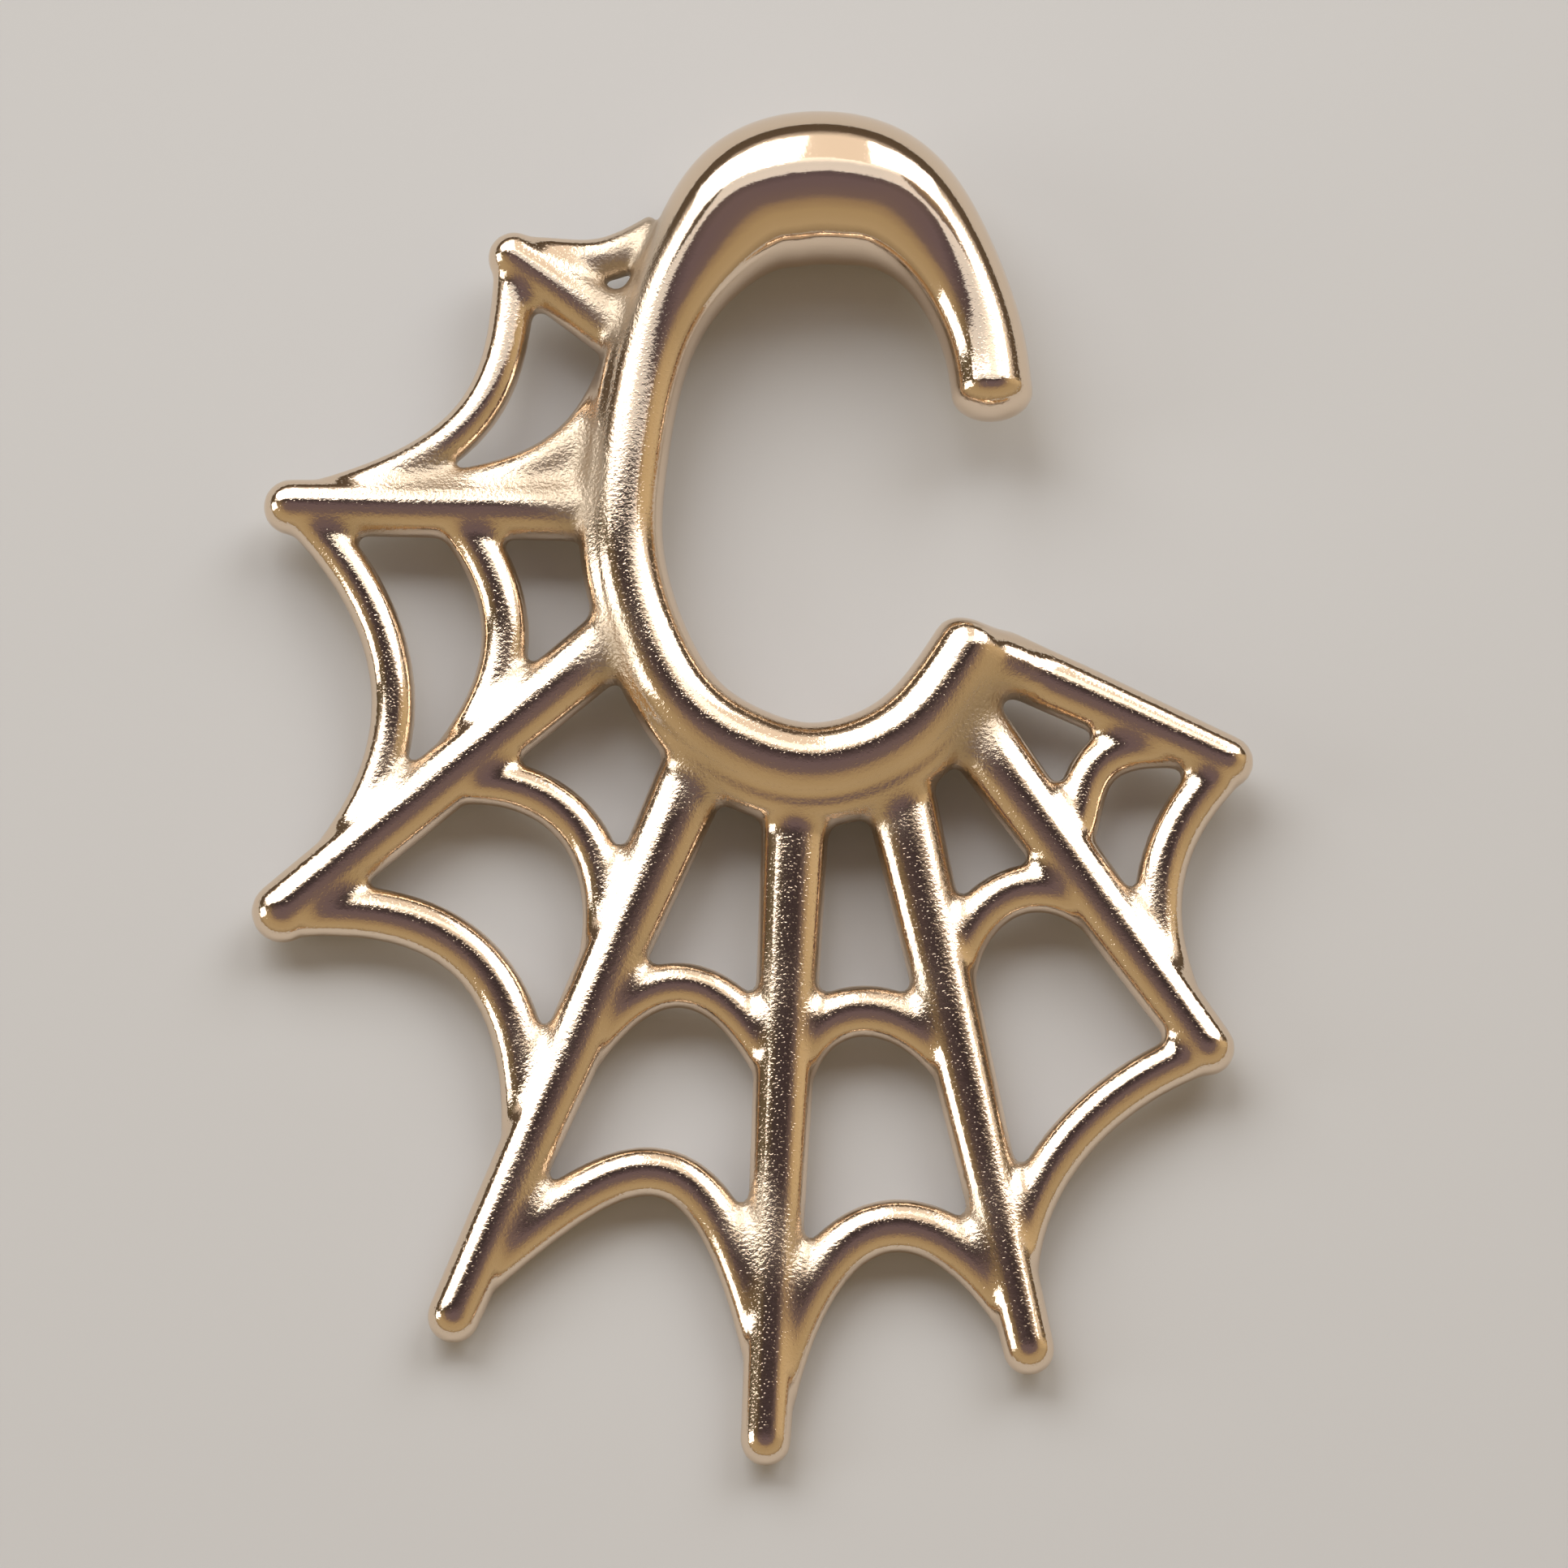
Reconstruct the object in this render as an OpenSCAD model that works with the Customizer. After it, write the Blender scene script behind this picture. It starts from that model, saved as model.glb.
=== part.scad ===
// Ear hanger: a round C-shaped hook bar with a spider web drop, cast in one piece.
// It lies on its back as it rests by itself, with its front up and the top of the hook toward +Y.

/* [Hook bar] */
// Thickness of the bar at the top of the hook, where the ear lobe carries it
bar_top_d = 6.1; // [5.5:0.1:6.3]
// Thickness of the bar down its slim side
bar_side_d = 3.05; // [2.9:0.05:3.4]
// Height of the domed bar ends as a share of their radius
dome_share = 0.65; // [0.3:0.05:1]
// Thickness of the rail round the outer side of the bar, which carries the web
rail_d = 2.1; // [1.9:0.1:2.4]

/* [Web] */
// Depth of the spokes from front to back
web_depth = 2.1; // [2:0.1:2.4]
// Distance from the middle of the bar back to the middle of the web
web_setback = 0.5; // [0.2:0.1:0.7]
// Greatest depth of the strands from front to back
strand_depth = 1.9; // [1.6:0.05:1.9]
// Factor on the width of all the strands
strand_factor = 1; // [0.85:0.05:1.05]

/* [Hidden] */
ROSE_GOLD = [0.78, 0.58, 0.47];

// Stations along the hook bar, from its free tip over the top and round to its lower end.
// Swell is 0 at the slim thickness and 1 at the top thickness, and rail_out is how far
// the middle of the rail stands out from the middle of the bar.
// x, y, swell, rail_out
STATIONS = [
    [9.5, 15.8, 0.05, 0],
    [9.0, 18.6, 0.10, 0],
    [7.5, 21.8, 0.35, 0],
    [5.3, 23.9, 0.85, 0],
    [2.7, 24.5, 1.00, 0],
    [0.1, 23.8, 0.90, 0],
    [-2.0, 21.6, 0.42, 0.85],
    [-3.8, 18.0, 0.05, 0.80],
    [-4.8, 13.0, 0.00, 0.75],
    [-4.8, 8.4, 0.00, 0.75],
    [-3.1, 3.7, 0.07, 0.75],
    [-0.6, 1.3, 0.15, 1.20],
    [2.4, 0.4, 0.17, 1.30],
    [5.4, 1.3, 0.14, 1.25],
    [7.3, 3.1, 0.10, 1.00],
    [8.7, 5.3, 0.05, 0.85]
];
SWELL = 2;
RAIL_OUT = 3;
TOP_STATION = 4;
RAIL_FIRST = 6;
LAST_STATION = len(STATIONS) - 1;

// Straight lines that the strands run between. Line 0 follows the upper side of the hook bar
// and has no body of its own, and lines 1 to 8 are the spokes, from the upper left round to the right.
// tip_x, tip_y, tip_d, root_x, root_y, root_d
LINES = [
    [-3.3, 23.6, 0, -5.9, 14.8, 0],
    [-9.4, 21.7, 2.10, -4.3, 18.0, 2.60],
    [-18.1, 11.3, 2.20, -5.8, 11.1, 2.40],
    [-18.2, -5.3, 2.45, -4.8, 6.3, 2.70],
    [-11.4, -21.5, 2.05, -2.2, 0.3, 2.85],
    [0.6, -26.4, 1.95, 1.8, -0.4, 2.70],
    [10.7, -22.8, 2.00, 5.6, 0.4, 2.85],
    [17.7, -10.8, 2.15, 8.3, 2.7, 2.85],
    [18.6, 0.8, 2.10, 9.8, 5.0, 2.50]
];
TIP_D = 2;
ROOT_X = 3;
ROOT_Y = 4;
ROOT_D = 5;
FIRST_SPOKE = 1;
LAST_SPOKE = 8;
REST_SPOKE_FAR = 5;
REST_SPOKE_SIDE = 4;

// Strands, each a smooth sag between two lines. A share is a place along a line, from 0 at
// its root to 1 at its tip. From each end the strand sets out along its line toward the root,
// for the reach in millimetres, and the lean turns it from there toward the other line.
// The fourth one is short and fills the corner between the hook bar and spoke 2.
// line_a, share_a, line_b, share_b, reach_a, reach_b, lean_a, lean_b, width
STRANDS = [
    [1, 1.00, 0, 0.91, 2.5, 3.5, 40, 40, 1.80],
    [1, 0.99, 2, 1.00, 5.0, 8.5, 57, 15, 1.70],
    [0, 0.63, 2, 0.80, 8.0, 7.5, -5, 10, 1.85],
    [0, -0.20, 2, 0.30, 1.0, 1.5, 0, 0, 1.55],
    [2, 0.98, 3, 0.98, 4.5, 10.0, 45, 5, 1.75],
    [2, 0.49, 3, 0.63, 4.5, 7.0, 50, 5, 1.90],
    [3, 1.00, 4, 0.70, 6.5, 7.5, 35, 20, 2.05],
    [3, 0.55, 4, 0.45, 4.0, 8.0, 30, 5, 1.85],
    [4, 0.93, 5, 0.88, 7.5, 11.0, 25, 15, 1.95],
    [4, 0.67, 5, 0.45, 6.5, 7.5, 0, 28, 1.80],
    [5, 0.94, 6, 0.94, 9.0, 6.0, 10, 20, 2.10],
    [5, 0.48, 6, 0.53, 4.5, 4.5, 5, 20, 2.05],
    [6, 0.90, 7, 1.00, 4.0, 5.0, 10, 75, 1.85],
    [6, 0.43, 7, 0.70, 4.5, 6.0, 5, 0, 1.95],
    [7, 0.92, 8, 1.00, 6.5, 2.0, 10, 75, 1.90],
    [7, 0.42, 8, 0.84, 2.5, 5.0, 60, 20, 1.85]
];
LINE_A = 0;
SHARE_A = 1;
LINE_B = 2;
SHARE_B = 3;
REACH_A = 4;
REACH_B = 5;
LEAN_A = 6;
LEAN_B = 7;
WIDTH = 8;

// Sides of each round section and steps along each sweep
BAR_SIDES = 24;
BAR_STEPS = 3;
DOME_STEPS = 3;
RAIL_SIDES = 14;
RAIL_STEPS = 3;
STRAND_SIDES = 12;
STRAND_STEPS = 10;
BALL_SIDES = 18;

function unit(v) = v / norm(v);
function mix(a, b, share) = a + (b - a) * share;
function flat(p, z = 0) = [p.x, p.y, z];
function turned(v, angle) = [v.x * cos(angle) - v.y * sin(angle), v.x * sin(angle) + v.y * cos(angle)];

// Smooth curve through the rows of a table, with u counted in rows. All columns are worked out together.
function row(rows, i) =
    i < 0 ? 2 * rows[0] - rows[1] :
    i >= len(rows) ? 2 * rows[len(rows) - 1] - rows[len(rows) - 2] :
    rows[i];
function spline(rows, u) =
    let(i = min(floor(u), len(rows) - 2), t = u - i,
        a = row(rows, i - 1), b = row(rows, i), c = row(rows, i + 1), d = row(rows, i + 2))
    b + t * (c - a) / 2 + t * t * (2 * a - 5 * b + 4 * c - d) / 2 + t * t * t * (3 * b - a - 3 * c + d) / 2;

// The bar at a place along its stations: middle, heading and radius
HEADING_STEP = 0.01;
function bar_middle(u) = flat(spline(STATIONS, u));
function bar_heading(u) =
    unit(bar_middle(min(u + HEADING_STEP, LAST_STATION)) - bar_middle(max(u - HEADING_STEP, 0)));
function bar_radius(u) = mix(bar_side_d, bar_top_d, spline(STATIONS, u)[SWELL]) / 2;
function outward(heading) = [heading.y, -heading.x, 0];

// A sweep follows a list of sections, each a middle, a heading and a radius
MIDDLE = 0;
HEADING = 1;
RADIUS = 2;
function dome_angle(step) = 90 * step / (DOME_STEPS + 1);
function dome(section, way) =
    let(heading = section[HEADING], radius = section[RADIUS])
    [for (k = [1:DOME_STEPS])
        [section[MIDDLE] + way * heading * radius * dome_share * sin(dome_angle(k)),
         heading, radius * cos(dome_angle(k))]];
function reversed(list) = [for (k = [len(list) - 1:-1:0]) list[k]];

bar_sections = [
    for (k = [0:LAST_STATION * BAR_STEPS])
        let(u = k / BAR_STEPS)
        [bar_middle(u), bar_heading(u), bar_radius(u)]
];
rail_sections = [
    for (k = [RAIL_FIRST * RAIL_STEPS:LAST_STATION * RAIL_STEPS])
        let(u = k / RAIL_STEPS, heading = bar_heading(u))
        [bar_middle(u) + outward(heading) * spline(STATIONS, u)[RAIL_OUT], heading, rail_d / 2]
];

// Points and directions on the lines
function line_tip(line) = [line.x, line.y];
function line_root(line) = [line[ROOT_X], line[ROOT_Y]];
function on_line(line, share) = mix(line_root(line), line_tip(line), share);
function inward(line) = unit(line_root(line) - line_tip(line));
function side_of(direction, target) = sign(direction.x * target.y - direction.y * target.x);

// The four control points of a strand
function strand_handle(line, start, end, reach, lean) =
    start + reach * turned(inward(line), lean * side_of(inward(line), end - start));
function strand_points(s) =
    let(a = on_line(LINES[s[LINE_A]], s[SHARE_A]), b = on_line(LINES[s[LINE_B]], s[SHARE_B]))
    [a, strand_handle(LINES[s[LINE_A]], a, b, s[REACH_A], s[LEAN_A]),
     strand_handle(LINES[s[LINE_B]], b, a, s[REACH_B], s[LEAN_B]), b];
function bezier(p, t) =
    pow(1 - t, 3) * p[0] + 3 * pow(1 - t, 2) * t * p[1] + 3 * (1 - t) * t * t * p[2] + pow(t, 3) * p[3];
function bezier_heading(p, t) =
    unit(pow(1 - t, 2) * (p[1] - p[0]) + 2 * (1 - t) * t * (p[2] - p[1]) + t * t * (p[3] - p[2]));
function strand_sections(s) =
    let(p = strand_points(s))
    [for (k = [0:STRAND_STEPS])
        let(t = k / STRAND_STEPS)
        [flat(bezier(p, t), -web_setback), flat(bezier_heading(p, t)), s[WIDTH] * strand_factor / 2]];

// The middle of the hanger's outline in x and y
spoke_rows = [for (k = [FIRST_SPOKE:LAST_SPOKE]) LINES[k]];
reach_left = min([for (s = spoke_rows) s.x - s[TIP_D] / 2]);
reach_right = max([for (s = spoke_rows) s.x + s[TIP_D] / 2]);
reach_down = min([for (s = spoke_rows) s.y - s[TIP_D] / 2]);
reach_up = STATIONS[TOP_STATION].y + bar_top_d / 2;
outline_middle = [(reach_left + reach_right) / 2, (reach_down + reach_up) / 2, 0];

// The resting pose: the hanger touches the ground under the top of the hook and under two web tips
function under_tip(line) = flat(line_tip(line), -web_setback - line[TIP_D] / 2);
rest_hook = flat(STATIONS[TOP_STATION], -bar_top_d / 2);
rest_far = under_tip(LINES[REST_SPOKE_FAR]);
rest_side = under_tip(LINES[REST_SPOKE_SIDE]);
ground_up = unit(cross(rest_side - rest_hook, rest_far - rest_hook));
rest_tilt = acos(ground_up.z);
rest_height = ground_up * (outline_middle - rest_hook);

// A closed round body through sections, no deeper than depth, with its end points raised by end_height
module sweep(sections, sides, end_height = 0, depth = bar_top_d) {
    last = len(sections) - 1;
    rings = [
        for (s = sections, k = [0:sides - 1])
            let(a = 360 * k / sides, half_depth = min(s[RADIUS], depth / 2))
            s[MIDDLE] + s[RADIUS] * cos(a) * outward(s[HEADING]) + half_depth * sin(a) * [0, 0, 1]
    ];
    start_point = sections[0][MIDDLE] - sections[0][HEADING] * end_height;
    end_point = sections[last][MIDDLE] + sections[last][HEADING] * end_height;
    start_index = len(rings);
    end_index = start_index + 1;
    walls = [
        for (i = [0:last - 1], k = [0:sides - 1])
            let(a = i * sides + k, b = i * sides + (k + 1) % sides)
            each [[a, b, b + sides], [a, b + sides, a + sides]]
    ];
    start_cap = [for (k = [0:sides - 1]) [start_index, (k + 1) % sides, k]];
    end_cap = [for (k = [0:sides - 1]) [end_index, last * sides + k, last * sides + (k + 1) % sides]];
    polyhedron(concat(rings, [start_point, end_point]), concat(walls, start_cap, end_cap));
}

// The C-shaped bar with a domed end at its tip and at its lower arm
module hook_bar() {
    first = bar_sections[0];
    last = bar_sections[len(bar_sections) - 1];
    tip_dome = reversed(dome(first, -1));
    arm_dome = dome(last, 1);
    dome_rest = first[RADIUS] * dome_share * (1 - sin(dome_angle(DOME_STEPS)));
    sweep(concat(tip_dome, bar_sections, arm_dome), BAR_SIDES, dome_rest);
}

// The rail along the outer side of the bar
module rail() {
    sweep(rail_sections, RAIL_SIDES);
}

// A ball on the web's middle plane, no deeper than the web
module web_ball(place, d) {
    translate(flat(place, -web_setback))
        scale([1, 1, min(1, web_depth / d)])
            sphere(d = d, $fn = BALL_SIDES);
}

// One straight spoke with a round tip, wider toward its root in the bar
module spoke(line) {
    hull() {
        web_ball(line_tip(line), line[TIP_D]);
        web_ball(line_root(line), line[ROOT_D]);
    }
}

// The whole hanger as one casting
module ear_hanger() {
    color(ROSE_GOLD)
        translate([0, 0, rest_height])
            rotate(a = rest_tilt, v = cross(ground_up, [0, 0, 1]))
                translate(-outline_middle)
                    union() {
                        hook_bar();
                        rail();
                        for (line = spoke_rows)
                            spoke(line);
                        for (s = STRANDS)
                            sweep(strand_sections(s), STRAND_SIDES, depth = strand_depth);
                    }
}

ear_hanger();
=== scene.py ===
"""Looks of the ear hanger: a hook bar with a spider web drop, cast in one piece in polished rose gold."""
import math

import bpy
import numpy as np
from mathutils import Matrix, Vector


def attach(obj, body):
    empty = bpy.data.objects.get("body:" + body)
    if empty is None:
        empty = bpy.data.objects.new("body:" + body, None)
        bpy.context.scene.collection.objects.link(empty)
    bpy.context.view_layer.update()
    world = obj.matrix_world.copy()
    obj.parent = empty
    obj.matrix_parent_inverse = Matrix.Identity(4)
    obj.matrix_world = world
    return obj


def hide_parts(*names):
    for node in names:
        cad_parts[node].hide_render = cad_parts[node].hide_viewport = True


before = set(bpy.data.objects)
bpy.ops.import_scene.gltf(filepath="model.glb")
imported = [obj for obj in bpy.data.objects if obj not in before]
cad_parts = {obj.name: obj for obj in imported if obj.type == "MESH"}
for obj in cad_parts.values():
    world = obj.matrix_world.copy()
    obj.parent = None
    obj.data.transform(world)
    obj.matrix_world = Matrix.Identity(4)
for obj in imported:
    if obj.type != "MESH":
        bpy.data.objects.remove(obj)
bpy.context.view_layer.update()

# The hanger is modelled in millimetres, in the casting's own plane, and laid in its resting pose last
MM = 0.001

# Thicknesses of the hook bar at its top and down its slim side, and of the rail
BAR_TOP_D = 6.1
BAR_SIDE_D = 3.05
RAIL_D = 2.1
# Height of the bar's domed ends as a share of their radius
DOME_SHARE = 0.65

# Depths of the spokes and strands from front to back, the distance from the middle of the bar back to the
# middle of the web, and how much farther back the strands lie
WEB_DEPTH = 2.1
STRAND_DEPTH = 1.65
WEB_SETBACK = 0.5
STRAND_SINK = 0.12

# Stations along the bar from its free tip, over the top and round to its lower end. Swell is 0 at the
# slim thickness and 1 at the top thickness, and rail_out is how far the rail stands out from the bar.
# x, y, swell, rail_out
STATIONS = [
    (9.5, 15.8, 0.05, 0),
    (9.0, 18.6, 0.10, 0),
    (7.5, 21.8, 0.35, 0),
    (5.3, 23.9, 0.85, 0),
    (2.7, 24.5, 1.00, 0),
    (0.1, 23.8, 0.90, 0),
    (-2.0, 21.6, 0.42, 0.85),
    (-3.8, 18.0, 0.05, 0.80),
    (-4.8, 13.0, 0.00, 0.75),
    (-4.8, 8.4, 0.00, 0.75),
    (-3.1, 3.7, 0.07, 0.75),
    (-0.6, 1.3, 0.15, 1.20),
    (2.4, 0.4, 0.17, 1.30),
    (5.4, 1.3, 0.14, 1.25),
    (7.3, 3.1, 0.10, 1.00),
    (8.7, 5.3, 0.05, 0.85),
]
# The station at the top of the hook, and the first one that the rail passes
TOP_STATION = 4
RAIL_FIRST = 6
TOP_X, TOP_Y, _, _ = STATIONS[TOP_STATION]

# How far the free arm bends toward the front at its first stations
ARM_LIFTS = [0.20, 0.08, 0.02]

# Lines that the strands run between: line 0 follows the upper side of the bar and has no body,
# and lines 1 to 8 are the spokes, from the upper left round to the right
# tip_x, tip_y, tip_d, root_x, root_y, root_d
LINES = [
    (-3.3, 23.6, 0, -5.9, 14.8, 0),
    (-9.4, 21.7, 2.10, -4.3, 18.0, 2.60),
    (-18.1, 11.3, 2.20, -5.8, 11.1, 2.40),
    (-18.2, -5.3, 2.45, -4.8, 6.3, 2.70),
    (-11.4, -21.5, 2.05, -2.2, 0.3, 2.85),
    (0.6, -26.4, 1.95, 1.8, -0.4, 2.70),
    (10.7, -22.8, 2.00, 5.6, 0.4, 2.85),
    (17.7, -10.8, 2.15, 8.3, 2.7, 2.85),
    (18.6, 0.8, 2.10, 9.8, 5.0, 2.50),
]
SPOKES = LINES[1:]
# The spokes that the casting rests on with their tips
REST_SPOKE_FAR = LINES[5]
REST_SPOKE_SIDE = LINES[4]

# Strands, each a sag between two lines. A share runs from 0 at a line's root to 1 at its tip. The strand
# sets out from each end toward the line's root, for the reach, leaning toward the other line.
# line_a, share_a, line_b, share_b, reach_a, reach_b, lean_a, lean_b, width
STRANDS = [
    (1, 1.00, 0, 0.91, 2.5, 3.5, 40, 40, 1.80),
    (1, 0.99, 2, 1.00, 5.0, 8.5, 57, 15, 1.70),
    (0, 0.63, 2, 0.80, 8.0, 7.5, -5, 10, 1.85),
    (0, -0.20, 2, 0.30, 1.0, 1.5, 0, 0, 1.55),
    (2, 0.98, 3, 0.98, 4.5, 10.0, 45, 5, 1.75),
    (2, 0.49, 3, 0.63, 4.5, 7.0, 50, 5, 1.90),
    (3, 1.00, 4, 0.70, 6.5, 7.5, 35, 20, 2.05),
    (3, 0.55, 4, 0.45, 4.0, 8.0, 30, 5, 1.85),
    (4, 0.93, 5, 0.88, 7.5, 11.0, 25, 15, 1.95),
    (4, 0.67, 5, 0.45, 6.5, 7.5, 0, 28, 1.80),
    (5, 0.94, 6, 0.94, 9.0, 6.0, 10, 20, 2.10),
    (5, 0.48, 6, 0.53, 4.5, 4.5, 5, 20, 2.05),
    (6, 0.90, 7, 1.00, 4.0, 5.0, 10, 75, 1.85),
    (6, 0.43, 7, 0.70, 4.5, 6.0, 5, 0, 1.95),
    (7, 0.92, 8, 1.00, 6.5, 2.0, 10, 75, 1.90),
    (7, 0.42, 8, 0.84, 2.5, 5.0, 60, 20, 1.85),
]

# The bend from the lower arm's end over into the last spoke: its ends and its thickness there, and the
# middle of the corner that is softened round it
CORNER_START = Vector((8.85, 5.1, 0))
CORNER_END = Vector((12.6, 3.66, -WEB_SETBACK - STRAND_SINK))
CORNER_START_D = 2.65
CORNER_END_D = 1.7
LOWER_ARM_CORNER = (10.2, 5.4, 0.3)

# Fineness of the curves and rounds, and of the fused casting
CURVE_STEPS = 12
STRAND_STEPS = 24
BAR_ROUND = 46
STRAND_ROUND = 30
SPOKE_SIDES = 64
SPOKE_RINGS = 24
DOME_STEPS = 10
VOXEL = 0.178
MERGE_DISTANCE = 0.001
# Least cosine between a rod's heading and the faces of its flat end
END_FACE_COSINE = 0.9

# Softening of the nooks between rods: the depth of hollow that is softened in full, the smoothing steps
# that find the hollows, and those that soften them. Creases are the finest nooks.
# depth, find_steps, soften_steps
WEB_NOOKS = (0.03, 60, 40)
WEB_CREASES = (0.01, 10, 40)
BAR_NOOKS = (0.03, 15, 15)
CORNER_NOOKS = (0.01, 30, 60)
CORNER_PASSES = 3
CORNER_NOOKS_REACH = 3.2
# Smoothing of the whole surface: the steps for a new skin, for the web and for the lower arm's corner,
# and how far the last ones reach
SKIN_STEPS = 2
WEB_STEPS = 6
CORNER_STEPS = 25
CORNER_REACH = 3.0
# How far one step moves a vertex toward its neighbours' mean, and the weight up to which a vertex stays
SMOOTH_FACTOR = 0.5
STILL_WEIGHT = 0.01

# Dull stretches of the metal, rougher and with painted shade darkening their colour, in the nooks and a
# little way out of them, and the shine over the hook's top
DULL_AND_SHADE_DEPTH = 0.04
DULL_AND_SHADE_FIND_STEPS = 200
DULL_AND_SHADE_SPREAD_STEPS = 60
DULL_AND_SHADE_GAIN = 4
SHINE_REACH = 11


def deselect():
    bpy.ops.object.select_all(action="DESELECT")


def choose(piece):
    """Selects one piece alone and makes it the active one."""
    deselect()
    piece.select_set(True)
    bpy.context.view_layer.objects.active = piece


def flat(x, y, z=0.0):
    """A place by or in the casting's own plane."""
    return Vector((x, y, z))


# Curves of the bar and the strands


def row(rows, i):
    """Row i of a table, which runs on in a straight line past its ends."""
    if i < 0:
        return rows[0] * 2 - rows[1]
    if i >= len(rows):
        return rows[-1] * 2 - rows[-2]
    return rows[i]


def drawn_curve(name, points, handles, radii, steps, sides):
    """A round rod along a Bezier curve, made a mesh. Handles are each point's forward handle."""
    deselect()
    bpy.ops.curve.primitive_bezier_curve_add(location=(0, 0, 0))
    rod = bpy.context.object
    rod.name = name
    curve = rod.data
    spline = curve.splines[0]
    spline.bezier_points.add(len(points) - len(spline.bezier_points))
    for bezier, point, handle, radius in zip(spline.bezier_points, points, handles, radii):
        bezier.handle_left_type = bezier.handle_right_type = "FREE"
        bezier.co = point
        bezier.handle_right = point + handle
        bezier.handle_left = point - handle
        bezier.radius = radius
    spline.radius_interpolation = "BSPLINE"
    spline.resolution_u = steps
    curve.dimensions = "3D"
    curve.bevel_depth = 1
    curve.bevel_resolution = sides
    bpy.ops.object.convert(target="MESH")
    bpy.ops.object.mode_set(mode="EDIT")
    bpy.ops.mesh.select_all(action="SELECT")
    bpy.ops.mesh.remove_doubles(threshold=MERGE_DISTANCE)
    bpy.ops.mesh.fill_holes(sides=0)
    bpy.ops.mesh.normals_make_consistent(inside=False)
    bpy.ops.object.mode_set(mode="OBJECT")
    return rod


def station_middles():
    """The middles of the stations, with the free arm bent a little toward the front."""
    middles = [flat(x, y) for x, y, _, _ in STATIONS]
    for middle, lift in zip(middles, ARM_LIFTS):
        middle.z = lift
    return middles


def pulled(rows):
    """Pulling values whose smooth curve, which bends without jumps, runs through the given rows."""
    count = len(rows)
    pull = (np.eye(count) * 4 + np.eye(count, k=1) + np.eye(count, k=-1)) / 6
    pull[0] = np.eye(count)[0]
    pull[-1] = np.eye(count)[-1]
    return np.linalg.solve(pull, np.array(rows))


def station_handles(middles):
    """Forward handles that make a smooth curve through the stations."""
    pulls = [Vector(pull) for pull in pulled(middles)]
    return [(row(pulls, i + 1) - row(pulls, i - 1)) / 6 for i in range(len(middles))]


def bar_radius(swell):
    """Half the bar's thickness where it swells by this much."""
    return (BAR_SIDE_D + (BAR_TOP_D - BAR_SIDE_D) * swell) / 2


def dome_end(rod, middle, heading, radius):
    """Draws the rod's flat end out into a dome, ring by ring."""
    choose(rod)
    bpy.ops.object.mode_set(mode="EDIT")
    bpy.ops.mesh.select_mode(type="FACE")
    bpy.ops.mesh.select_all(action="DESELECT")
    bpy.ops.object.mode_set(mode="OBJECT")
    for face in rod.data.polygons:
        at_end = (face.center - middle).length < radius / 4
        face.select = at_end and face.normal.dot(heading) > END_FACE_COSINE
    bpy.ops.object.mode_set(mode="EDIT")
    height = 0.0
    share = 1.0
    for step in range(1, DOME_STEPS):
        angle = math.radians(90 * step / DOME_STEPS)
        next_height = radius * DOME_SHARE * math.sin(angle)
        next_share = math.cos(angle)
        bpy.ops.mesh.extrude_region_move(
            TRANSFORM_OT_translate={"value": heading * (next_height - height)}
        )
        bpy.ops.transform.resize(
            value=(next_share / share,) * 3, center_override=middle + heading * next_height
        )
        height = next_height
        share = next_share
    bpy.ops.mesh.extrude_region_move(
        TRANSFORM_OT_translate={"value": heading * (radius * DOME_SHARE - height)}
    )
    bpy.ops.mesh.merge(type="CENTER")
    bpy.ops.object.mode_set(mode="OBJECT")


def hook_bar():
    """The C-shaped bar, thick over the ear lobe, with a dome at each end."""
    middles = station_middles()
    radii = [bar_radius(swell) for _, _, swell, _ in STATIONS]
    handles = station_handles(middles)
    bar = drawn_curve("hook_bar", middles, handles, pulled(radii), CURVE_STEPS, BAR_ROUND)
    dome_end(bar, middles[0], (middles[0] - middles[1]).normalized(), radii[0])
    dome_end(bar, middles[-1], (middles[-1] - middles[-2]).normalized(), radii[-1])
    return bar


def lower_arm_corner():
    """The bend from the lower arm's end down into the last spoke."""
    pull = (CORNER_END - CORNER_START) / 3
    radii = [CORNER_START_D / 2, CORNER_END_D / 2]
    return drawn_curve(
        "lower_arm_corner", [CORNER_START, CORNER_END], [pull, pull], radii, STRAND_STEPS, STRAND_ROUND
    )


def rail():
    """The rail along the outer side of the bar, which carries the web."""
    middles = station_middles()
    offset = []
    for i, (_, _, _, rail_out) in enumerate(STATIONS):
        heading = (row(middles, i + 1) - row(middles, i - 1)).normalized()
        offset.append(middles[i] + Vector((heading.y, -heading.x, 0)) * rail_out)
    carried = offset[RAIL_FIRST:]
    handles = station_handles(offset)[RAIL_FIRST:]
    radii = [RAIL_D / 2] * len(carried)
    return drawn_curve("rail", carried, handles, radii, CURVE_STEPS, STRAND_ROUND)


def on_line(line, share):
    """The place on a line at a share of the way from its root to its tip."""
    tip_x, tip_y, _, root_x, root_y, _ = line
    return flat(root_x, root_y).lerp(flat(tip_x, tip_y), share)


def strand_handle(line, start, end, reach, lean):
    """The pull of a strand at one end: toward the line's root, turned by the lean toward the other end."""
    inward = (on_line(line, 0) - on_line(line, 1)).normalized()
    side = math.copysign(1, inward.cross(end - start).z)
    return Matrix.Rotation(math.radians(lean) * side, 3, "Z") @ inward * reach


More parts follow.
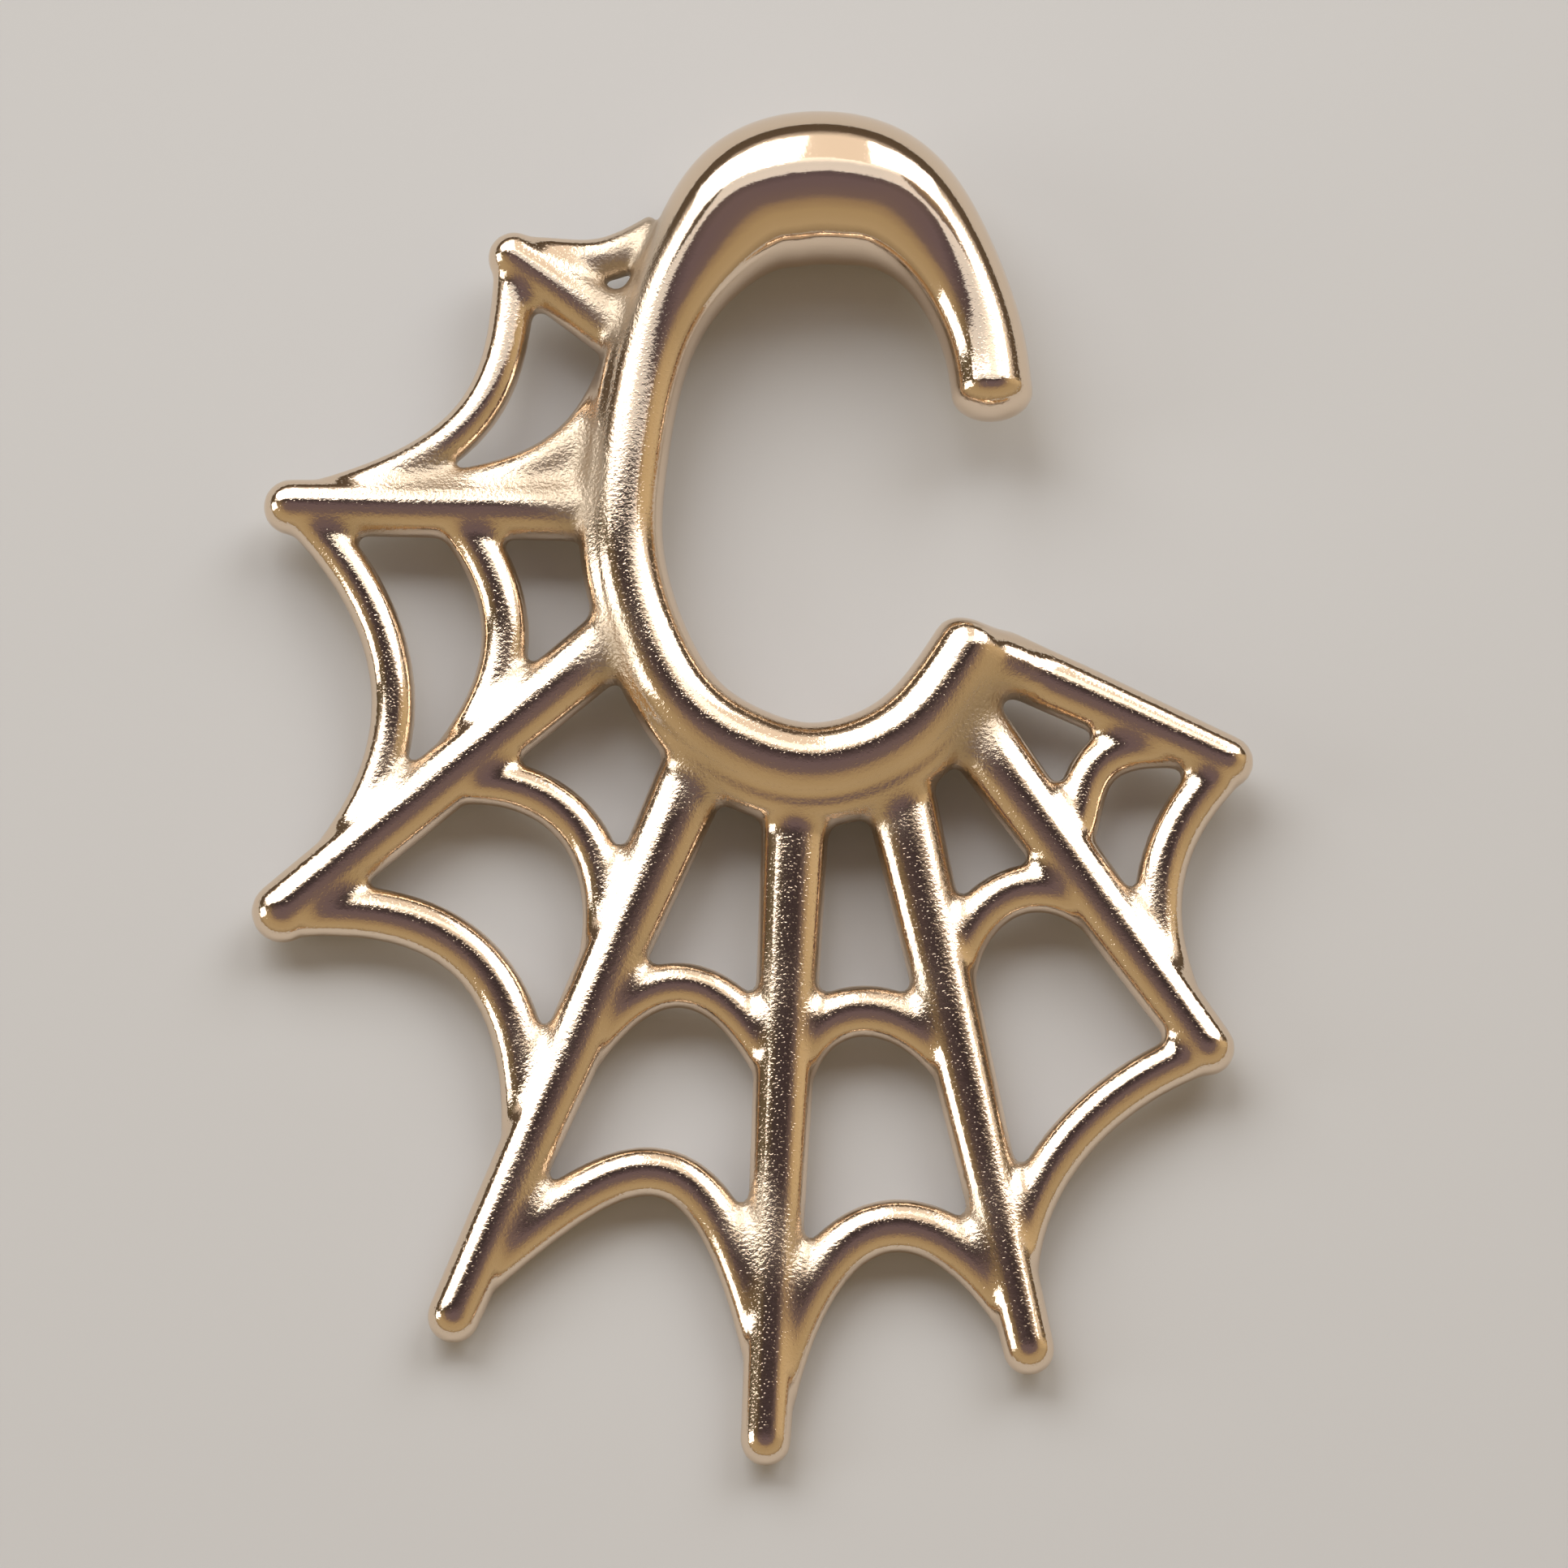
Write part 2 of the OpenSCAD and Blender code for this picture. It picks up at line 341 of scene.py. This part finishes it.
def strand(name, line_a, share_a, line_b, share_b, reach_a, reach_b, lean_a, lean_b, width):
    """A strand of the web, no deeper from front to back than STRAND_DEPTH."""
    start = on_line(LINES[line_a], share_a)
    end = on_line(LINES[line_b], share_b)
    pull_a = strand_handle(LINES[line_a], start, end, reach_a, lean_a)
    pull_b = strand_handle(LINES[line_b], end, start, reach_b, lean_b)
    rod = drawn_curve(name, [start, end], [pull_a, -pull_b], [width / 2] * 2, STRAND_STEPS, STRAND_ROUND)
    set_back_strand(rod, min(1, STRAND_DEPTH / width))
    return rod


def set_back_strand(rod, factor):
    """Flattens a strand from front to back by a factor, and sets it back behind the middle of the bar."""
    bpy.ops.object.mode_set(mode="EDIT")
    bpy.ops.mesh.select_all(action="SELECT")
    bpy.ops.transform.resize(value=(1, 1, factor), center_override=(0, 0, 0))
    bpy.ops.transform.translate(value=(0, 0, -WEB_SETBACK - STRAND_SINK))
    bpy.ops.object.mode_set(mode="OBJECT")


def spoke(name, tip_x, tip_y, tip_d, root_x, root_y, root_d):
    """A straight spoke: a ball at its tip, with the half toward the root drawn out and widened."""
    tip = flat(tip_x, tip_y)
    root = flat(root_x, root_y)
    along = (root - tip).normalized()
    deselect()
    turn = along.to_track_quat("Z", "Y").to_euler()
    bpy.ops.mesh.primitive_uv_sphere_add(
        segments=SPOKE_SIDES, ring_count=SPOKE_RINGS, radius=tip_d / 2, location=tip, rotation=turn
    )
    rod = bpy.context.object
    rod.name = name
    bpy.ops.object.transform_apply(location=True, rotation=True, scale=True)
    bpy.ops.object.mode_set(mode="EDIT")
    bpy.ops.mesh.select_mode(type="FACE")
    bpy.ops.mesh.select_all(action="SELECT")
    tip_depth = min(tip_d, WEB_DEPTH)
    root_depth = min(root_d, WEB_DEPTH)
    bpy.ops.transform.resize(value=(1, 1, tip_depth / tip_d), center_override=tip)
    bpy.ops.mesh.select_all(action="DESELECT")
    bpy.ops.object.mode_set(mode="OBJECT")
    for face in rod.data.polygons:
        face.select = (face.center - tip).dot(along) > 0
    bpy.ops.object.mode_set(mode="EDIT")
    bpy.ops.mesh.extrude_region_move(TRANSFORM_OT_translate={"value": root - tip})
    widen = root_d / tip_d
    bpy.ops.transform.resize(value=(widen, widen, root_depth / tip_depth), center_override=root)
    bpy.ops.mesh.select_all(action="SELECT")
    bpy.ops.transform.translate(value=(0, 0, -WEB_SETBACK))
    bpy.ops.mesh.normals_make_consistent(inside=False)
    bpy.ops.object.mode_set(mode="OBJECT")
    return rod


# Fusing the rods into one casting


def joined(name, rods):
    """Several rods as one piece, which takes the first one's place."""
    choose(rods[0])
    for rod in rods:
        rod.select_set(True)
    bpy.ops.object.join()
    rods[0].name = name
    return rods[0]


def copied(piece, name):
    """A copy of a piece with its own mesh."""
    choose(piece)
    bpy.ops.object.duplicate()
    copy = bpy.context.object
    copy.name = name
    return copy


def finish_with(piece, kind, **settings):
    """Adds a modifier to a piece and applies it."""
    choose(piece)
    modifier = piece.modifiers.new(kind.lower(), kind)
    for setting, value in settings.items():
        setattr(modifier, setting, value)
    bpy.ops.object.modifier_apply(modifier=modifier.name)


def smooth(piece, steps, group=""):
    """Smooths a whole piece, or each vertex by its weight in a group."""
    finish_with(piece, "SMOOTH", factor=SMOOTH_FACTOR, iterations=steps, vertex_group=group)


def fused(rods, name):
    """One closed skin over overlapping rods, laid back on the rods' own surfaces."""
    exact = joined(name + "_rods", rods)
    skin = copied(exact, name)
    finish_with(skin, "REMESH", mode="VOXEL", voxel_size=VOXEL, use_smooth_shade=True)
    smooth(skin, SKIN_STEPS)
    finish_with(skin, "SHRINKWRAP", target=exact, wrap_method="NEAREST_SURFACEPOINT")
    bpy.data.objects.remove(exact)
    return skin


def vertex_vectors(piece, kind):
    """A vector for each vertex of a piece: its place where the kind is co, or its normal."""
    vectors = np.empty(len(piece.data.vertices) * 3, np.float32)
    piece.data.vertices.foreach_get(kind, vectors)
    return vectors.reshape(-1, 3)


def nook_depth(piece, steps):
    """How far each vertex lies in a hollow: the way that much smoothing would lift it, in millimetres."""
    soft = copied(piece, "soft")
    smooth(soft, steps)
    lift = vertex_vectors(soft, "co") - vertex_vectors(piece, "co")
    bpy.data.objects.remove(soft)
    return (lift * vertex_vectors(piece, "normal")).sum(axis=1)


def hollowness(piece, depth, steps):
    """1 for the vertices in hollows of the given depth or more, down to 0 where there is none."""
    return np.clip(nook_depth(piece, steps) / depth, 0, 1)


def nearness(piece, place, reach):
    """1 for the vertices within half the reach of a place, down to 0 at the reach."""
    away = np.linalg.norm(vertex_vectors(piece, "co") - np.array(place), axis=1)
    return np.clip(2 - 2 * away / reach, 0, 1)


def spread(piece, values, steps):
    """Spreads values along a piece's surface: at each step, every vertex takes its neighbours' mean."""
    ends = np.empty(len(piece.data.edges) * 2, np.int32)
    piece.data.edges.foreach_get("vertices", ends)
    a, b = ends.reshape(-1, 2).T
    count = len(values)
    neighbours = np.bincount(a, minlength=count) + np.bincount(b, minlength=count)
    for _ in range(steps):
        values = (np.bincount(a, values[b], count) + np.bincount(b, values[a], count)) / neighbours
    return values


def smooth_by(piece, weight, steps):
    """Smooths a piece, each vertex by its own weight."""
    group = piece.vertex_groups.new(name="weight")
    for i in np.nonzero(weight > STILL_WEIGHT)[0]:
        group.add([int(i)], float(weight[i]), "REPLACE")
    smooth(piece, steps, "weight")
    piece.vertex_groups.clear()


def soften_nooks(piece, nooks, within=1):
    """Fills the nooks between rods with soft fillets, each vertex by its share within a place."""
    depth, find_steps, soften_steps = nooks
    smooth_by(piece, hollowness(piece, depth, find_steps) * within, soften_steps)


def dullness_and_painted_shade(piece):
    """1 for the vertices in the nooks, down to 0 a little way out of them, where the metal is duller and its
    colour is darkened as painted shade.
    """
    hollow = hollowness(piece, DULL_AND_SHADE_DEPTH, DULL_AND_SHADE_FIND_STEPS)
    return np.clip(DULL_AND_SHADE_GAIN * spread(piece, hollow, DULL_AND_SHADE_SPREAD_STEPS), 0, 1)


def note(piece, name, values):
    """Keeps a value for each vertex under a name that the material reads."""
    attribute = piece.data.attributes.new(name, "FLOAT", "POINT")
    attribute.data.foreach_set("value", values.astype(np.float32))


def under_tip(line):
    """The lowest place under a spoke's tip."""
    tip_x, tip_y, tip_d, *_ = line
    return flat(tip_x, tip_y, -WEB_SETBACK - tip_d / 2)


def resting_pose():
    """The casting lies on the top of its hook and two web tips, as in the frame."""
    rest_hook = flat(TOP_X, TOP_Y, -BAR_TOP_D / 2)
    ground_up = (under_tip(REST_SPOKE_SIDE) - rest_hook).cross(under_tip(REST_SPOKE_FAR) - rest_hook)
    ground_up.normalize()
    left = min(tip_x - tip_d / 2 for tip_x, _, tip_d, *_ in SPOKES)
    right = max(tip_x + tip_d / 2 for tip_x, _, tip_d, *_ in SPOKES)
    low = min(tip_y - tip_d / 2 for _, tip_y, tip_d, *_ in SPOKES)
    high = TOP_Y + BAR_TOP_D / 2
    middle = flat((left + right) / 2, (low + high) / 2)
    turn = ground_up.rotation_difference(Vector((0, 0, 1))).to_matrix().to_4x4()
    lift = Matrix.Translation((0, 0, ground_up.dot(middle - rest_hook)))
    return Matrix.Scale(MM, 4) @ lift @ turn @ Matrix.Translation(-middle)


def web_drop():
    """The rail with its spokes and strands, fused and with soft nooks."""
    web = [rail()]
    for n, line in enumerate(SPOKES, 1):
        web.append(spoke(f"spoke_{n}", *line))
    for n, line in enumerate(STRANDS, 1):
        web.append(strand(f"strand_{n}", *line))
    drop = fused(web, "web_drop")
    soften_nooks(drop, WEB_NOOKS)
    soften_nooks(drop, WEB_CREASES)
    smooth(drop, WEB_STEPS)
    return drop


def casting():
    """The whole hanger as one mesh, in the frame."""
    hanger = fused([web_drop(), hook_bar(), lower_arm_corner()], "hanger")
    soften_nooks(hanger, BAR_NOOKS)
    for _ in range(CORNER_PASSES):
        soften_nooks(hanger, CORNER_NOOKS, nearness(hanger, LOWER_ARM_CORNER, CORNER_NOOKS_REACH))
    smooth_by(hanger, nearness(hanger, LOWER_ARM_CORNER, CORNER_REACH), CORNER_STEPS)
    # The nook value makes the metal rougher and coarser in the hollows, and darkens its colour there as
    # painted shade
    note(hanger, "nook", dullness_and_painted_shade(hanger))
    note(hanger, "shine", nearness(hanger, (TOP_X, TOP_Y, 0), SHINE_REACH))
    choose(hanger)
    hanger.matrix_world = resting_pose()
    bpy.ops.object.transform_apply(location=True, rotation=True, scale=True)
    bpy.ops.object.shade_smooth()
    return hanger


# Materials

# Colour and roughness of the metal on its open surface and in the nooks; the darker colour in the nooks is
# painted shade
OPEN_COLOUR = (0.86, 0.70, 0.54, 1)
# This darker colour in the nooks is painted shade
NOOK_COLOUR_WITH_PAINTED_SHADE = (0.60, 0.50, 0.385, 1)
OPEN_ROUGHNESS = 0.08
NOOK_ROUGHNESS = 0.40
# Grain of the casting: grains to the metre, and their height in metres, in the open and in the nooks
GRAIN_SCALE = 7000
GRAIN_DETAIL = 2
OPEN_GRAIN = 0.000005
NOOK_GRAIN = 0.00005
# Specks: how many to the metre, the noise between which one rises, and their height in metres
SPECK_SCALE = 11000
SPECK_FOOT = 0.62
SPECK_CREST = 0.78
SPECK_HEIGHT = 0.0000022
# Share of the grain and specks that is left where the metal shines
SHINE_RELIEF = 0.2
FLOOR_COLOUR = (0.66, 0.68, 0.70, 1)


def mapped(tree, value, to_low, to_high, from_low=0, from_high=1):
    """A node that maps a value from one range to another and holds it there."""
    node = tree.nodes.new("ShaderNodeMapRange")
    node.inputs["From Min"].default_value = from_low
    node.inputs["From Max"].default_value = from_high
    node.inputs["To Min"].default_value = to_low
    node.inputs["To Max"].default_value = to_high
    tree.links.new(value, node.inputs["Value"])
    return node


def noise(tree, place, scale, detail):
    """Noise over a place, as a value from 0 to 1."""
    node = tree.nodes.new("ShaderNodeTexNoise")
    node.inputs["Scale"].default_value = scale
    node.inputs["Detail"].default_value = detail
    tree.links.new(place, node.inputs["Vector"])
    return node.outputs["Fac"]


def noted(tree, name):
    """The value that a piece's vertices keep under a name."""
    node = tree.nodes.new("ShaderNodeAttribute")
    node.attribute_name = name
    return node.outputs["Fac"]


def rose_gold():
    """Polished rose gold with the fine grain of a tumbled casting, duller in the nooks and darker there with
    painted shade.
    """
    material = bpy.data.materials.new("rose_gold")
    material.use_nodes = True
    tree = material.node_tree
    nodes = tree.nodes
    links = tree.links
    shader = nodes["Principled BSDF"]
    shader.inputs["Metallic"].default_value = 1
    nook = noted(tree, "nook")
    # The base colour darkens towards the nooks: painted shade
    metal = nodes.new("ShaderNodeMix")
    metal.data_type = "RGBA"
    metal.inputs["A"].default_value = OPEN_COLOUR
    metal.inputs["B"].default_value = NOOK_COLOUR_WITH_PAINTED_SHADE
    links.new(nook, metal.inputs["Factor"])
    links.new(metal.outputs["Result"], shader.inputs["Base Color"])
    rough = mapped(tree, nook, OPEN_ROUGHNESS, NOOK_ROUGHNESS)
    links.new(rough.outputs["Result"], shader.inputs["Roughness"])
    place = nodes.new("ShaderNodeTexCoord").outputs["Object"]
    coarseness = mapped(tree, nook, OPEN_GRAIN, NOOK_GRAIN)
    bump = nodes.new("ShaderNodeBump")
    links.new(coarseness.outputs["Result"], bump.inputs["Distance"])
    links.new(noise(tree, place, GRAIN_SCALE, GRAIN_DETAIL), bump.inputs["Height"])
    specks = mapped(tree, noise(tree, place, SPECK_SCALE, 0), 0, 1, SPECK_FOOT, SPECK_CREST)
    specks.interpolation_type = "SMOOTHSTEP"
    speck_bump = nodes.new("ShaderNodeBump")
    speck_bump.inputs["Distance"].default_value = SPECK_HEIGHT
    links.new(specks.outputs["Result"], speck_bump.inputs["Height"])
    links.new(bump.outputs["Normal"], speck_bump.inputs["Normal"])
    links.new(speck_bump.outputs["Normal"], shader.inputs["Normal"])
    relief = mapped(tree, noted(tree, "shine"), 1, SHINE_RELIEF)
    links.new(relief.outputs["Result"], bump.inputs["Strength"])
    links.new(relief.outputs["Result"], speck_bump.inputs["Strength"])
    return material


def pale_floor():
    """Plain pale paint for the floor."""
    material = bpy.data.materials.new("pale_floor")
    material.use_nodes = True
    nodes = material.node_tree.nodes
    paint = nodes.new("ShaderNodeBsdfDiffuse")
    paint.inputs["Color"].default_value = FLOOR_COLOUR
    material.node_tree.links.new(paint.outputs["BSDF"], nodes["Material Output"].inputs["Surface"])
    return material


# The piece

hanger = casting()
hanger.data.materials.clear()
hanger.data.materials.append(rose_gold())
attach(hanger, "root")
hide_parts("ear_hanger")

# Floor

FLOOR_SIZE = 4

deselect()
bpy.ops.mesh.primitive_plane_add(size=FLOOR_SIZE, location=(0, 0, 0))
floor = bpy.context.object
floor.name = "floor"
floor.data.materials.append(pale_floor())

# Room

# Colours of the room by height, from the horizon (0) to straight overhead (1)
ROOM_COLOURS = [
    (0.00, (0.30, 0.23, 0.14)),
    (0.25, (0.47, 0.37, 0.225)),
    (0.60, (0.43, 0.33, 0.19)),
    (0.77, (0.33, 0.24, 0.15)),
    (0.86, (0.19, 0.14, 0.135)),
    (1.00, (0.16, 0.12, 0.14)),
]
# The same at the back of the room, behind the top of the hook
BACK_COLOURS = [
    (0.00, (0.10, 0.075, 0.05)),
    (0.28, (0.12, 0.09, 0.065)),
    (0.45, (1.0, 0.88, 0.76)),
]
# What the camera sees of the room
SEEN_COLOUR = (0.70, 0.68, 0.65, 1)
# Where the front of the room passes into its back, on a scale from 0 at the sides to 1 straight behind
BACK_FROM = 0.30
BACK_TO = 0.42
# From the first place to the second on that scale, the front's colours pass from full to a share, which
# differs from the left to the right of the room
SHARE_FROM = -0.12
SHARE_TO = 0.24
RIGHT_FROM = 0.30
RIGHT_TO = 0.75
LEFT_SHARE = 0.28
RIGHT_SHARE = 1.4


def colours_by_height(tree, height, rows):
    """A ramp through rows of a height and a colour."""
    node = tree.nodes.new("ShaderNodeValToRGB")
    ramp = node.color_ramp
    ramp.elements.remove(ramp.elements[-1])
    ramp.elements[0].color = (*rows[0][1], 1)
    for place, colour in rows[1:]:
        ramp.elements.new(place).color = (*colour, 1)
    tree.links.new(height, node.inputs["Fac"])
    return node.outputs["Color"]


def studio_room():
    """The room, which the metal mirrors warm low down and dark overhead, and the camera sees pale."""
    world = bpy.data.worlds.new("studio")
    bpy.context.scene.world = world
    world.use_nodes = True
    tree = world.node_tree
    nodes = tree.nodes
    links = tree.links
    seen = nodes["Background"]
    seen.inputs["Color"].default_value = SEEN_COLOUR
    mirrored = nodes.new("ShaderNodeBackground")
    place = nodes.new("ShaderNodeTexCoord")
    split = nodes.new("ShaderNodeSeparateXYZ")
    links.new(place.outputs["Generated"], split.inputs["Vector"])
    to_right, to_back, height = split.outputs
    far_share = mapped(tree, to_right, LEFT_SHARE, RIGHT_SHARE, RIGHT_FROM, RIGHT_TO)
    share = mapped(tree, to_back, 1, 1, SHARE_FROM, SHARE_TO)
    links.new(far_share.outputs["Result"], share.inputs["To Max"])
    front = nodes.new("ShaderNodeVectorMath")
    front.operation = "SCALE"
    links.new(colours_by_height(tree, height, ROOM_COLOURS), front.inputs["Vector"])
    links.new(share.outputs["Result"], front.inputs["Scale"])
    room = nodes.new("ShaderNodeMix")
    room.data_type = "RGBA"
    backness = mapped(tree, to_back, 0, 1, BACK_FROM, BACK_TO)
    links.new(backness.outputs["Result"], room.inputs["Factor"])
    links.new(front.outputs["Vector"], room.inputs["A"])
    links.new(colours_by_height(tree, height, BACK_COLOURS), room.inputs["B"])
    links.new(room.outputs["Result"], mirrored.inputs["Color"])
    path = nodes.new("ShaderNodeLightPath")
    mix = nodes.new("ShaderNodeMixShader")
    links.new(path.outputs["Is Camera Ray"], mix.inputs["Fac"])
    links.new(mirrored.outputs["Background"], mix.inputs[1])
    links.new(seen.outputs["Background"], mix.inputs[2])
    links.new(mix.outputs["Shader"], nodes["World Output"].inputs["Surface"])


studio_room()

# Lights, in metres

LIGHT_DISTANCE = 1.2
LIGHT_BRIGHTNESS = 2.2
# Banks of light behind the top of the hook. The front edge is at the front angle, in degrees off the zenith.
# name, left, right, front_angle, depth
BANKS = [
    ("left_softbox", -1.43, -0.045, 22, 0.93),
    ("right_softbox", 0.345, 1.25, 25.5, 0.86),
]
# A softbox at the left, at an angle off the zenith
SIDE_ANGLE = math.radians(70)
SIDE_WIDTH = 0.5
SIDE_DEPTH = 0.55
# A small light close over the top of the hook
HOOK_LIGHT_Y = 0.0365
HOOK_LIGHT_HEIGHT = 0.055
HOOK_LIGHT_WIDTH = 0.07
HOOK_LIGHT_DEPTH = 0.019
HOOK_LIGHT_BRIGHTNESS = 0.80


def softbox(name, place, aim, width, depth, brightness):
    """A rectangular light that faces a point and looks equally bright at any size and distance."""
    bpy.ops.object.light_add(type="AREA", location=place)
    light = bpy.context.object
    light.name = name
    light.rotation_euler = (place - aim).to_track_quat("Z", "Y").to_euler()
    light.data.shape = "RECTANGLE"
    light.data.size = width
    light.data.size_y = depth
    light.data.energy = brightness * math.pi * width * depth
    light.visible_camera = False


def bank_softbox(name, left, right, front_angle, depth):
    """A softbox behind the top of the hook, with its front edge at an angle off the zenith."""
    tilt = math.radians(front_angle) + math.atan(depth / 2 / LIGHT_DISTANCE)
    middle = Vector(((left + right) / 2, 0, 0))
    place = middle + Vector((0, math.sin(tilt), math.cos(tilt))) * LIGHT_DISTANCE
    softbox(name, place, middle, right - left, depth, LIGHT_BRIGHTNESS)


for bank in BANKS:
    bank_softbox(*bank)
side_place = Vector((-math.sin(SIDE_ANGLE), 0, math.cos(SIDE_ANGLE))) * LIGHT_DISTANCE
softbox("side_softbox", side_place, Vector((0, 0, 0)), SIDE_WIDTH, SIDE_DEPTH, LIGHT_BRIGHTNESS)
hook_place = Vector((0, HOOK_LIGHT_Y, HOOK_LIGHT_HEIGHT))
hook_aim = Vector((0, HOOK_LIGHT_Y, 0))
softbox("hook_softbox", hook_place, hook_aim, HOOK_LIGHT_WIDTH, HOOK_LIGHT_DEPTH, HOOK_LIGHT_BRIGHTNESS)

# The photograph's view: its middle falls on this point, seen from in front and a little below

AIM = flat(1.3, -0.25)
CAMERA_DISTANCE = 400
CAMERA_TILT = math.radians(17)
SENSOR_MM = 36
PHOTO_PX = 1932
PX_PER_MM = 31.6
CLIP_NEAR = 0.01
CLIP_FAR = 20

back = Vector((0, -math.sin(CAMERA_TILT), math.cos(CAMERA_TILT)))
up = Vector((0, math.cos(CAMERA_TILT), math.sin(CAMERA_TILT)))
turn = Matrix((up.cross(back), up, back)).transposed().to_4x4()
view = resting_pose() @ Matrix.Translation(AIM + back * CAMERA_DISTANCE) @ turn
bpy.ops.object.camera_add()
camera = bpy.context.object
camera.name = "camera"
camera.location = view.to_translation()
camera.rotation_euler = view.to_euler()
camera.data.sensor_width = SENSOR_MM
camera.data.lens = PX_PER_MM * CAMERA_DISTANCE / PHOTO_PX * SENSOR_MM
camera.data.clip_start = CLIP_NEAR
camera.data.clip_end = CLIP_FAR
bpy.context.scene.camera = camera
bpy.context.scene.view_settings.view_transform = "Standard"
